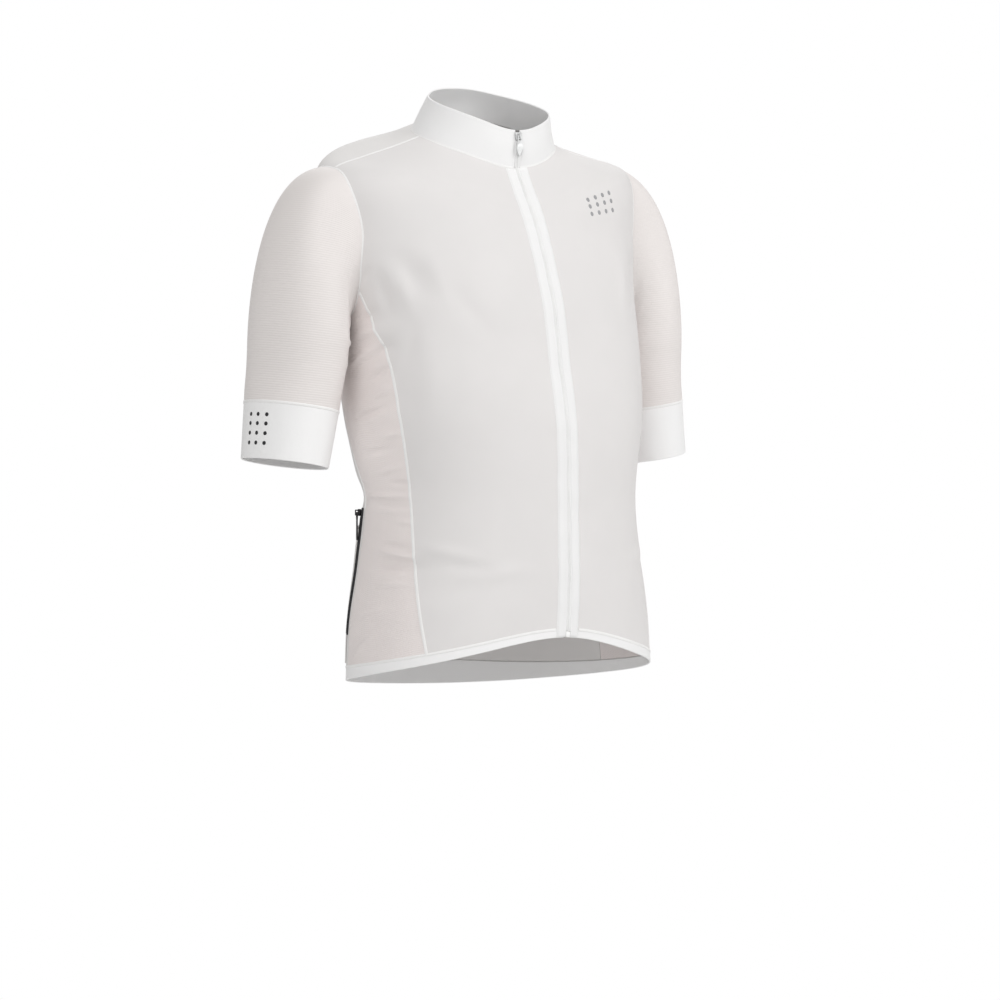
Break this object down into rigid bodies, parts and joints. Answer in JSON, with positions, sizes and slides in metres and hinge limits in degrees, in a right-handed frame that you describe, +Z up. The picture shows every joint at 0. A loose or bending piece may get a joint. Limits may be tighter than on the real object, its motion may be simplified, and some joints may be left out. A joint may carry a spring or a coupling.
{
  "type": "cycling jersey",
  "caption": "Hollow short-sleeved cycling jersey in its worn shape, with stand collar, full front zip, side panels, elastic sleeve bands, gripper hem and rear pockets.",
  "frame": {"origin": "centre of the neck opening at the level where the jersey rests on neck and shoulders", "axes": "+Z up, -Y is the front with the zip, +X is the wearer's left"},
  "size_m": [0.563, 0.2599, 0.6321],
  "materials": {
    "main_cloth": "matt knit",
    "side_mesh": "fine open mesh",
    "back_cloth": "matt knit",
    "band_cloth": "smooth elastic knit",
    "zip_tape": "woven tape",
    "zip_plastic": "satin",
    "zip_metal": "satin",
    "pocket_tape": "woven tape",
    "pocket_plastic": "satin",
    "pocket_metal": "satin"
  },
  "bodies": {
    "garment": {"front_right": "main_cloth", "front_left": "main_cloth", "sleeve_right": "main_cloth", "sleeve_left": "main_cloth", "side_panel_right": "side_mesh", "side_panel_left": "side_mesh", "back": "back_cloth", "pocket_panel": "back_cloth", "sleeve_band_right": "band_cloth", "sleeve_band_left": "band_cloth", "hem_band": "band_cloth", "collar": "band_cloth", "zip_tape_right": "zip_tape", "zip_tape_left": "zip_tape", "zip_chain": "zip_plastic", "zip_box": "zip_plastic", "zip_slider": "zip_metal", "pocket_zip_tape": "pocket_tape", "pocket_zip_chain": "pocket_plastic", "pocket_zip_slider": "pocket_metal"},
    "front_pull": {"zip_pull": "zip_metal"},
    "pocket_pull": {"pocket_zip_pull": "pocket_metal"}
  },
  "joints": [
    {"name": "front_pull_swing", "type": "hinge", "parent": "garment", "child": "front_pull", "pos_m": [0, -0.05852, -0.00135], "axis": [-1, 0, 0], "range_deg": [0, 150]},
    {"name": "pocket_pull_swing", "type": "hinge", "parent": "garment", "child": "pocket_pull", "pos_m": [-0.15477, 0.01404, -0.38758], "axis": [0.3914, 0.9202, 0], "range_deg": [0, 150]}
  ]
}
